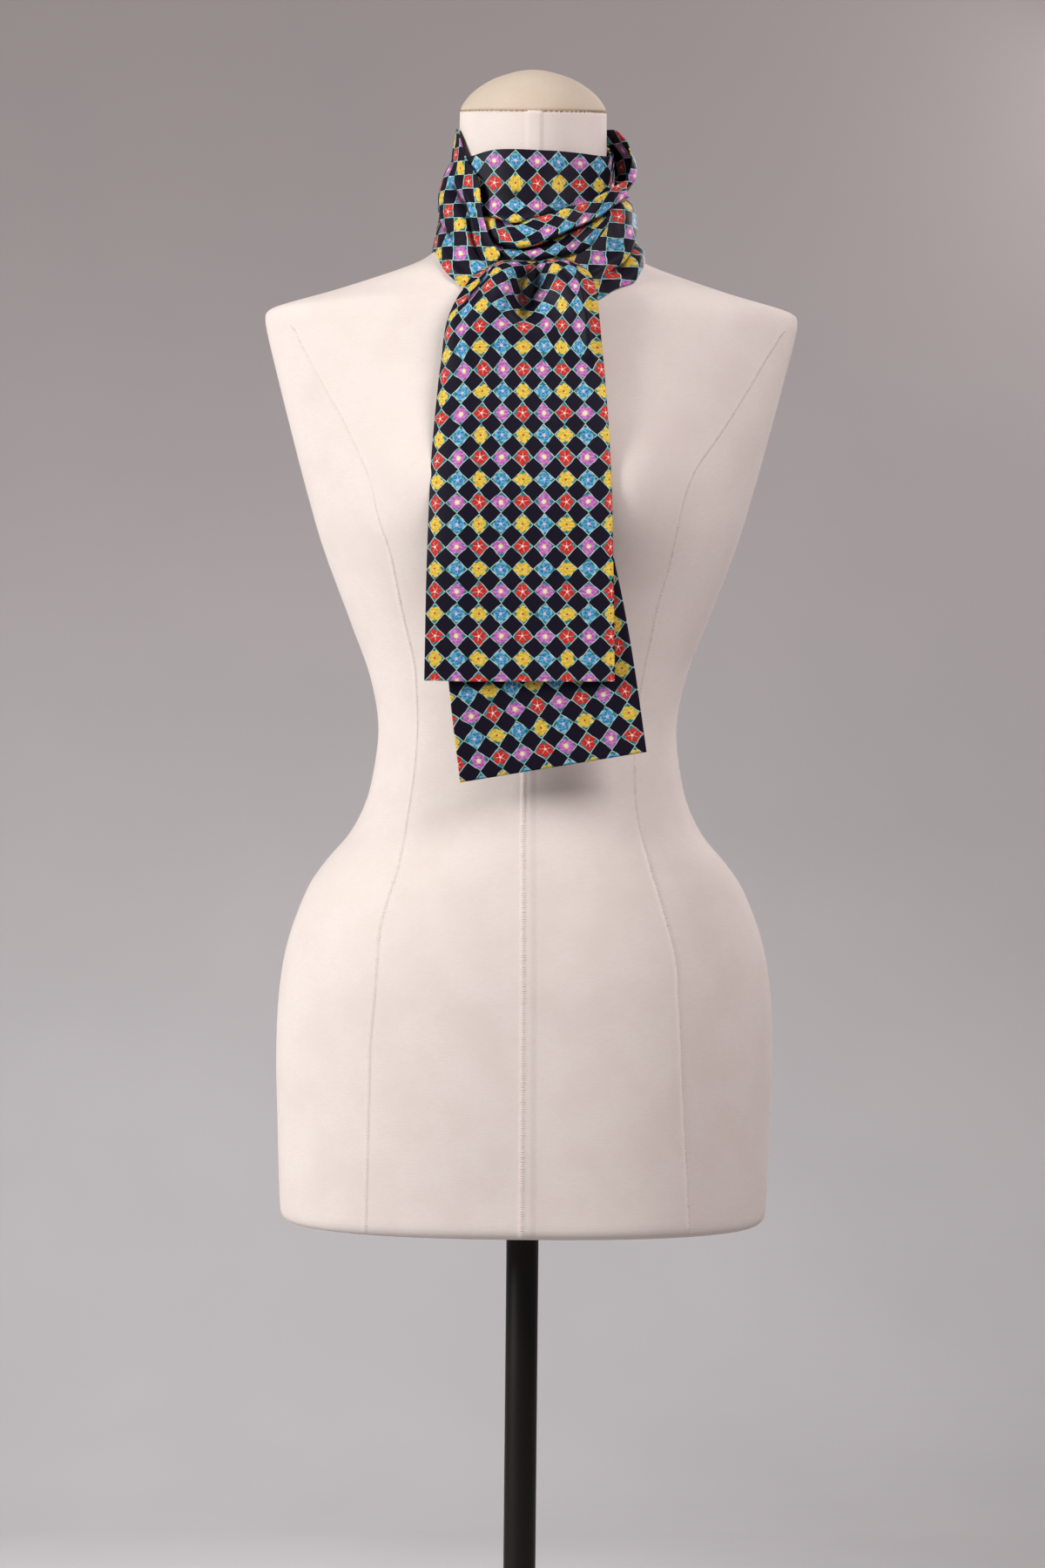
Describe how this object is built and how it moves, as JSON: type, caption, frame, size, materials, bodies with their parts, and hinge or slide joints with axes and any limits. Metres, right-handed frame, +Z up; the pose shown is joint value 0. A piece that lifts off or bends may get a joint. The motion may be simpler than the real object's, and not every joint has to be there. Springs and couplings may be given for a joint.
{
  "type": "silk cravat scarf worn on a limbless dress form with a pole stand",
  "caption": "Long printed silk cravat wound round the neck of a limbless dress form on a pole, crossed at the throat with both ends hanging in front.",
  "frame": {"origin": "on the floor, under the middle of the round base plate", "axes": "+X to the right as seen from the front, the front of the form faces -Y, +Z up"},
  "size_m": [0.412, 0.412, 1.4969],
  "materials": {
    "printed_silk": "silk twill printed with a navy and flowered diamond check on teal",
    "form_cover": "off-white cotton jersey cover, matte",
    "form_cap": "cream cotton cover, matte, edge stitched",
    "stand_metal": "satin black"
  },
  "bodies": {
    "root": {"cravat_front_panel": "printed_silk", "cravat_inner_turn": "printed_silk", "cravat_left_wrap": "printed_silk", "cravat_nape_wrap": "printed_silk", "cravat_right_wrap": "printed_silk", "cravat_front_tail": "printed_silk", "cravat_back_tail": "printed_silk", "form_torso": "form_cover", "form_neck": "form_cover", "form_neck_cap": "form_cap", "form_pole": "stand_metal", "form_base_plate": "stand_metal"}
  },
  "joints": []
}
